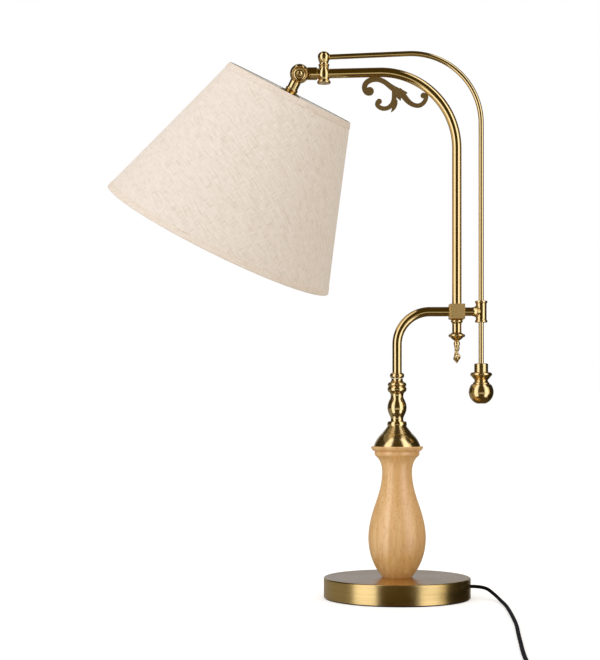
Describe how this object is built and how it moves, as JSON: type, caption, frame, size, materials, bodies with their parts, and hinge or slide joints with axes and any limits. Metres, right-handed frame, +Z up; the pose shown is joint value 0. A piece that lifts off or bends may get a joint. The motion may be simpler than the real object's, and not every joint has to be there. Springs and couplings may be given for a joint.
{
  "type": "table lamp",
  "caption": "Table lamp with a weighted brass base, turned wooden body, swivelling bent arm with a counterweight, and a tapered fabric shade on a tilting knuckle.",
  "frame": {"origin": "middle of the base's underside, where the felt pad rests on the table", "axes": "+Z up along the stem, +X towards the arm's upright in the front view, -Y towards the viewer; the shade hangs over -X"},
  "size_m": [0.4548, 0.861, 0.6347],
  "materials": {
    "polished_brass": "polished",
    "satin_brass": "satin",
    "brushed_brass": "brushed",
    "light_wood": "satin",
    "cream_fabric": "matte",
    "felt": "matte",
    "cast_iron": "rough",
    "zinc_steel": "satin",
    "black_rubber": "matte",
    "black_cord": "satin",
    "black_plastic": "gloss",
    "nylon": "matte",
    "nickel_brass": "polished",
    "white_wire": "satin",
    "bulb_aluminium": "satin",
    "bulb_glass": "frosted"
  },
  "bodies": {
    "stand": {"base_pad": "felt", "base_cover": "zinc_steel", "base_shell": "brushed_brass", "base_weight": "cast_iron", "cord_grommet": "black_rubber", "base_wire": "black_cord", "threaded_rod": "zinc_steel", "rod_washer": "zinc_steel", "rod_nut": "zinc_steel", "wood_body": "light_wood", "bell_cap": "polished_brass", "stem_vase": "polished_brass", "stem_crown": "polished_brass", "swivel_washer": "nylon", "cord_lead": "black_cord", "cord_coil": "black_cord", "switch_base": "black_plastic", "switch_cover": "black_plastic", "switch_screws": "zinc_steel", "plug_body": "black_plastic", "plug_pins": "nickel_brass"},
    "arm": {"swivel_spindle": "zinc_steel", "swivel_spring_washer": "zinc_steel", "swivel_nut": "zinc_steel", "swivel_ring": "satin_brass", "gooseneck_tube": "satin_brass", "cross_block": "satin_brass", "finial_cup": "satin_brass", "finial_drop": "satin_brass", "guide_collar": "satin_brass", "main_arm_tube": "satin_brass", "balance_rod": "satin_brass", "counterweight": "satin_brass", "arm_end_fitting": "satin_brass", "scroll_bracket": "satin_brass", "roll_collar": "satin_brass"},
    "roll": {"roll_spindle": "zinc_steel", "roll_nut": "zinc_steel", "knuckle_arm_half": "satin_brass", "friction_disc": "nylon"},
    "head": {"knuckle_head_half": "satin_brass", "knuckle_screw": "satin_brass", "knuckle_nut": "zinc_steel", "holder_nipple": "zinc_steel", "holder_nut": "zinc_steel", "holder_cup": "satin_brass", "lamp_holder": "black_plastic", "screw_liner": "nickel_brass", "centre_contact": "nickel_brass", "shade_ring_nut": "black_plastic", "shade_spider": "white_wire", "shade_bottom_ring": "white_wire", "shade_cloth": "cream_fabric", "bulb_cap": "bulb_aluminium", "bulb_glass": "bulb_glass"},
    "rocker": {"switch_rocker": "black_plastic"}
  },
  "joints": [
    {"name": "stem_swivel", "type": "hinge", "parent": "stand", "child": "arm", "pos_m": [0, 0, 0.2545], "axis": [0, 0, 1], "range_deg": [-170, 170]},
    {"name": "head_roll", "type": "hinge", "parent": "arm", "child": "roll", "pos_m": [-0.097, 0, 0.60831], "axis": [1, 0, 0], "range_deg": [-102.8, 77.2]},
    {"name": "head_tilt", "type": "hinge", "parent": "roll", "child": "head", "pos_m": [-0.1132, 0, 0.60831], "axis": [0, 0.9751, 0.2215], "range_deg": [-22, 62]},
    {"name": "switch_rock", "type": "hinge", "parent": "stand", "child": "rocker", "pos_m": [0.078, -0.575, 0.0135], "axis": [1, 0, 0], "range_deg": [0, 14]}
  ]
}
